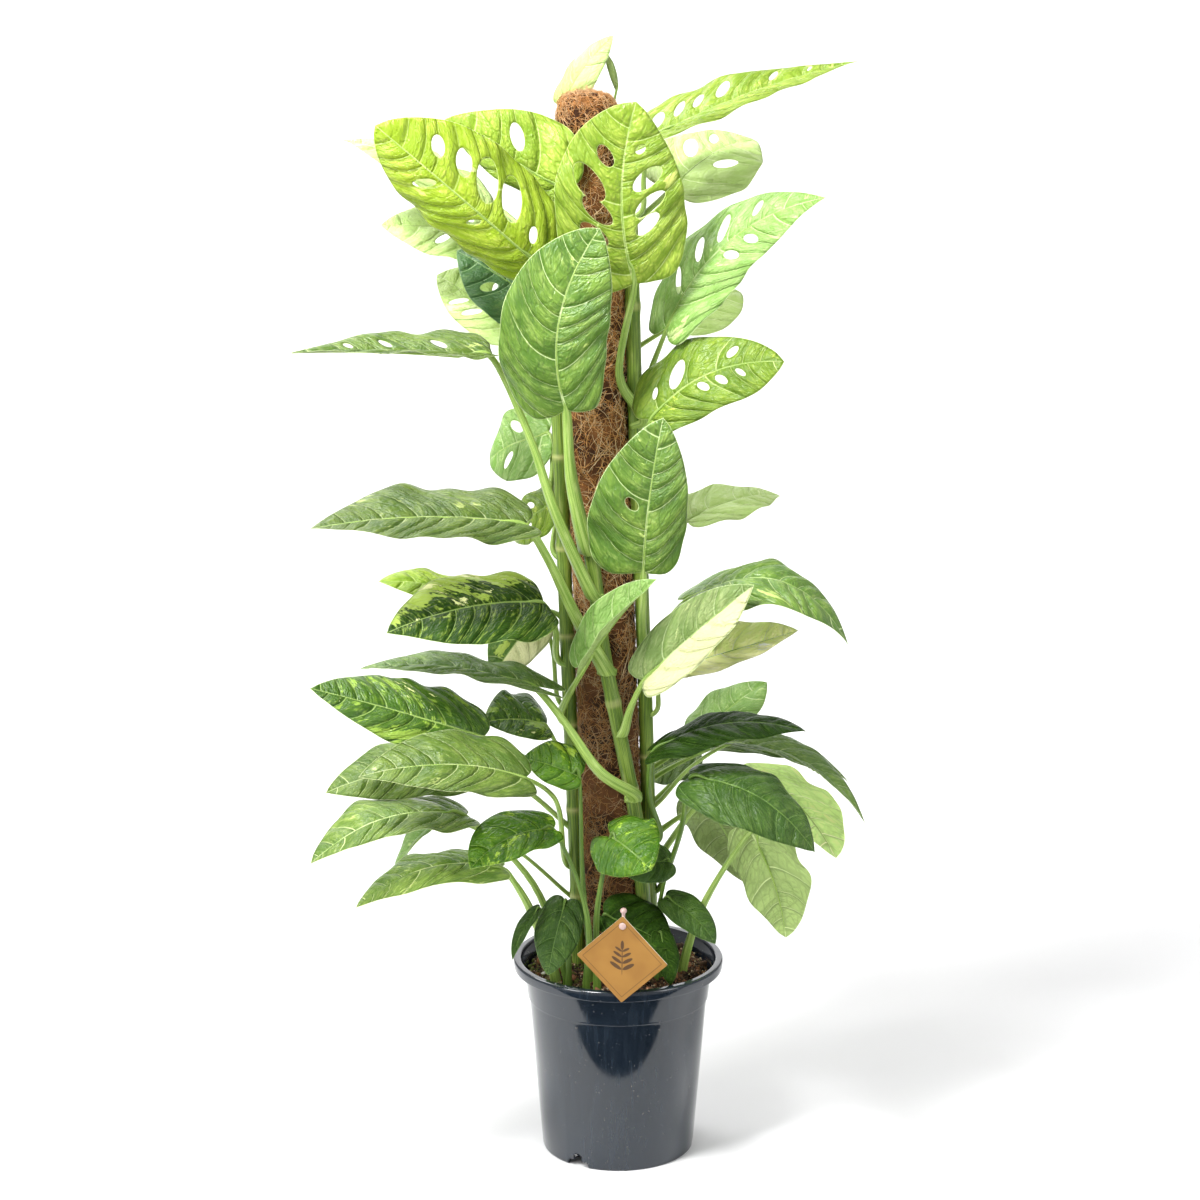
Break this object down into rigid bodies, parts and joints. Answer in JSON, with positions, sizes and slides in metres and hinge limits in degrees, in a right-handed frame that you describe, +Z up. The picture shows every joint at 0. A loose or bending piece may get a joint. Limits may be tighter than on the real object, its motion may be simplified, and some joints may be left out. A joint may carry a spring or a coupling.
{
  "type": "potted climbing plant",
  "caption": "Holey-leaved, marbled climbing plant trained up a coir pole in a nursery pot of soil, with a square tag",
  "frame": {"origin": "centre of the plant's box, on the floor that the pot stands on", "axes": "+Z up along the pole; -Y towards the side with the tag, from which the picture was taken; +X to that viewer's right"},
  "size_m": [0.6303, 0.3514, 1.2623],
  "materials": {
    "pot_plastic": "semi-gloss slate grey",
    "compost": "crumbly dark brown compost",
    "coir": "matted reddish-brown fibre",
    "core_wood": "plain round stake",
    "vine_green": "smooth light green stem",
    "leaf_green": "satin leaf, marbled in lime and cream",
    "kraft_card": "matt kraft card with a plain printed pattern",
    "pick_plastic": "satin pale pink-white"
  },
  "bodies": {
    "root": {"pot": "pot_plastic", "soil": "compost", "coir_pole": "coir", "pole_core": "core_wood", "vine_front": "vine_green", "vine_left": "vine_green", "vine_right": "vine_green", "vine_back": "vine_green", "tag": "kraft_card", "tag_pick": "pick_plastic", "leaf_crown_left_broad": "leaf_green", "leaf_crown_left_folded": "leaf_green", "leaf_crown_centre": "leaf_green", "leaf_crown_right_long": "leaf_green", "leaf_crown_right_back": "leaf_green", "leaf_upper_right": "leaf_green", "leaf_shoulder_right": "leaf_green", "leaf_upper_front": "leaf_green", "leaf_upper_left_long": "leaf_green", "leaf_upper_left_dark": "leaf_green", "leaf_upper_left_back": "leaf_green", "leaf_crown_left_far": "leaf_green", "leaf_crown_left_under": "leaf_green", "leaf_shoulder_left_back": "leaf_green", "leaf_shoulder_back_small": "leaf_green", "shoot_crown": "leaf_green", "leaf_upper_right_back": "leaf_green", "leaf_middle_left_high": "leaf_green", "leaf_middle_left_marbled": "leaf_green", "leaf_middle_left_lime": "leaf_green", "leaf_middle_left_cream": "leaf_green", "leaf_waist_left_marbled": "leaf_green", "leaf_waist_left_edge": "leaf_green", "leaf_waist_left_front": "leaf_green", "leaf_waist_left_light": "leaf_green", "leaf_lower_left_long": "leaf_green", "leaf_lower_left_hanging": "leaf_green", "leaf_lower_left_drooping": "leaf_green", "leaf_lower_left_glossy": "leaf_green", "leaf_waist_front_small": "leaf_green", "leaf_waist_left_back": "leaf_green", "leaf_middle_front": "leaf_green", "leaf_middle_front_rolled": "leaf_green", "leaf_middle_right_cream": "leaf_green", "leaf_middle_right_light": "leaf_green", "leaf_middle_right_arched": "leaf_green", "leaf_middle_right_back": "leaf_green", "leaf_waist_right_dark": "leaf_green", "leaf_waist_right_back": "leaf_green", "leaf_lower_right_narrow": "leaf_green", "leaf_lower_right_narrow_back": "leaf_green", "leaf_lower_right_front": "leaf_green", "leaf_lower_right_broad": "leaf_green", "leaf_lower_right_hanging": "leaf_green", "leaf_lower_right_under": "leaf_green", "leaf_waist_right_behind": "leaf_green", "shoot_collar_front": "leaf_green", "shoot_collar_side": "leaf_green", "shoot_collar_right": "leaf_green", "shoot_collar_left": "leaf_green"}
  },
  "joints": []
}
